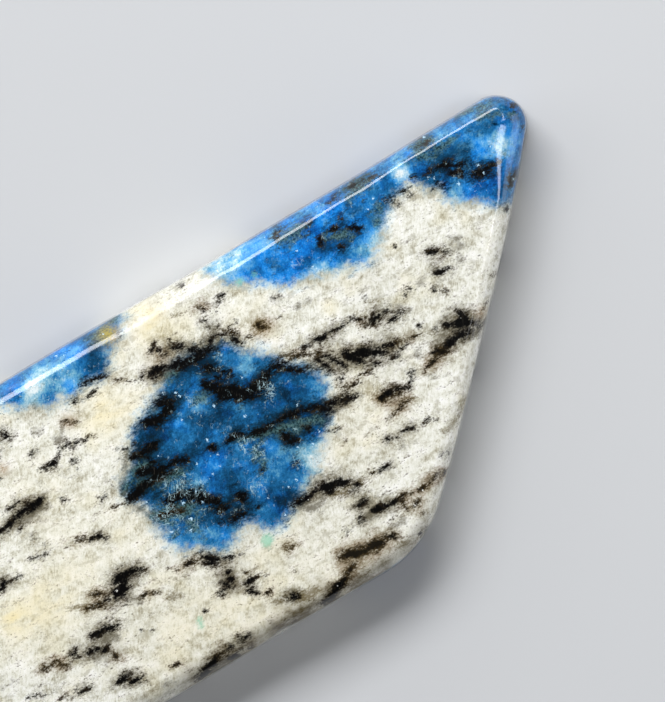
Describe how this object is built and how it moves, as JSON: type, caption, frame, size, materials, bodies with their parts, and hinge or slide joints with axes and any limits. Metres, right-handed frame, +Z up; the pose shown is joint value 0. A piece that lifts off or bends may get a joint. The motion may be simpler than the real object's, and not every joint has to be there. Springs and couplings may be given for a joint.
{
  "type": "azurite granite cabochon",
  "caption": "Long rhomboid cabochon of white granite with azurite stains, a flat back, an upright girdle, a rounded shoulder and a low domed face.",
  "frame": {"origin": "middle of the flat back, under the centre of the bounding box", "axes": "+Z up out of the domed face, +X along the two long edges towards the sharp tip that the picture shows, +Y across towards the upper long edge"},
  "size_m": [0.0668, 0.0254, 0.006],
  "materials": {
    "azurite_granite": "polished"
  },
  "bodies": {
    "root": {"polished_stone": "azurite_granite"}
  },
  "joints": []
}
